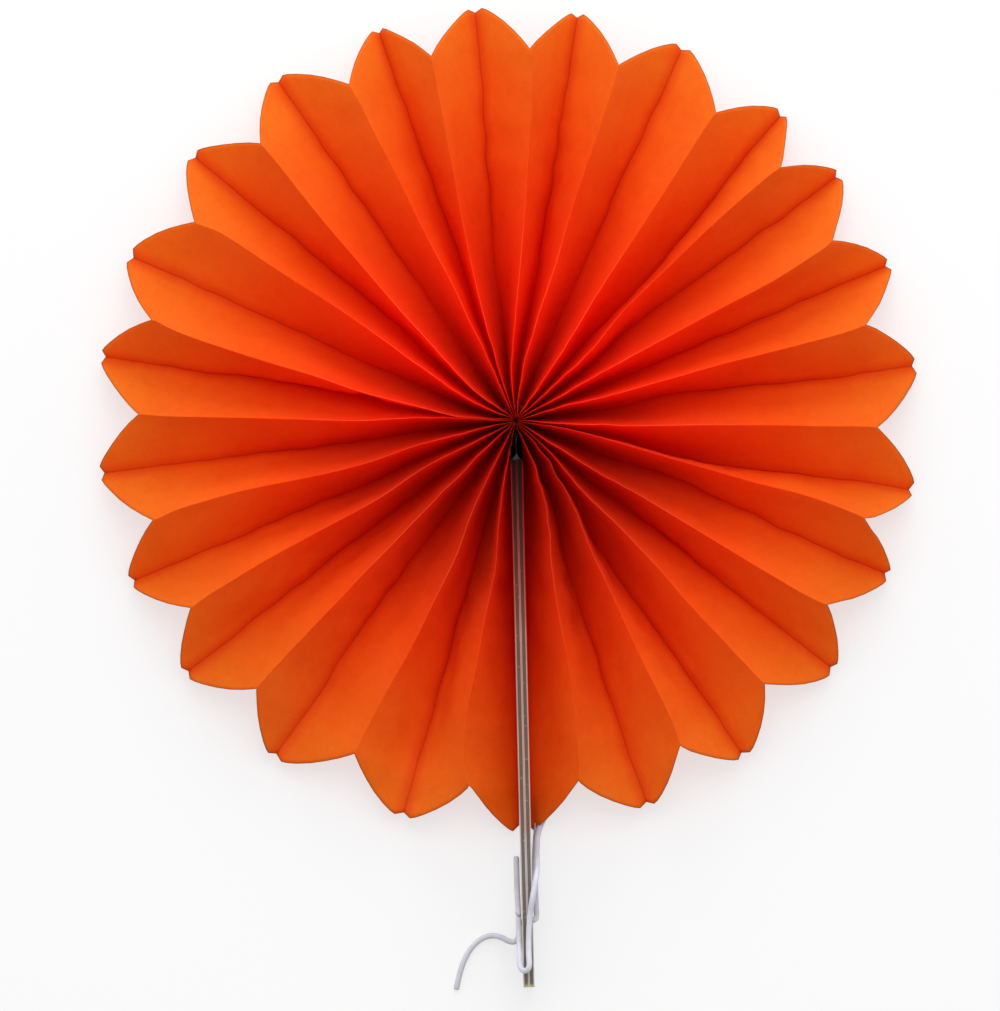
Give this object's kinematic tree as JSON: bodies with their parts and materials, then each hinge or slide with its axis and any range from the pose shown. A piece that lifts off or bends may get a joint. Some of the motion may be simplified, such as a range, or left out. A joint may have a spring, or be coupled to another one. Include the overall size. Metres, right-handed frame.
{
  "type": "paper fan rosette",
  "caption": "Accordion-pleated paper fan opened full circle into a scalloped rosette, its two end boards held together as a flat handle with a loose tie cord.",
  "frame": {"origin": "on the hub's axis, level with the fan's back, where it lies on a surface", "axes": "+Z out of the fan's face, -Y from the hub along the handle, +X to the right when the handle points down"},
  "size_m": [0.2987, 0.3583, 0.0329],
  "materials": {
    "tissue_paper": "matte",
    "greyboard": "matte",
    "thread": "matte",
    "cord": "satin"
  },
  "bodies": {
    "root": {"pleated_paper": "tissue_paper", "left_board": "greyboard", "right_board": "greyboard", "binding_thread": "thread", "tie_cord": "cord"}
  },
  "joints": []
}
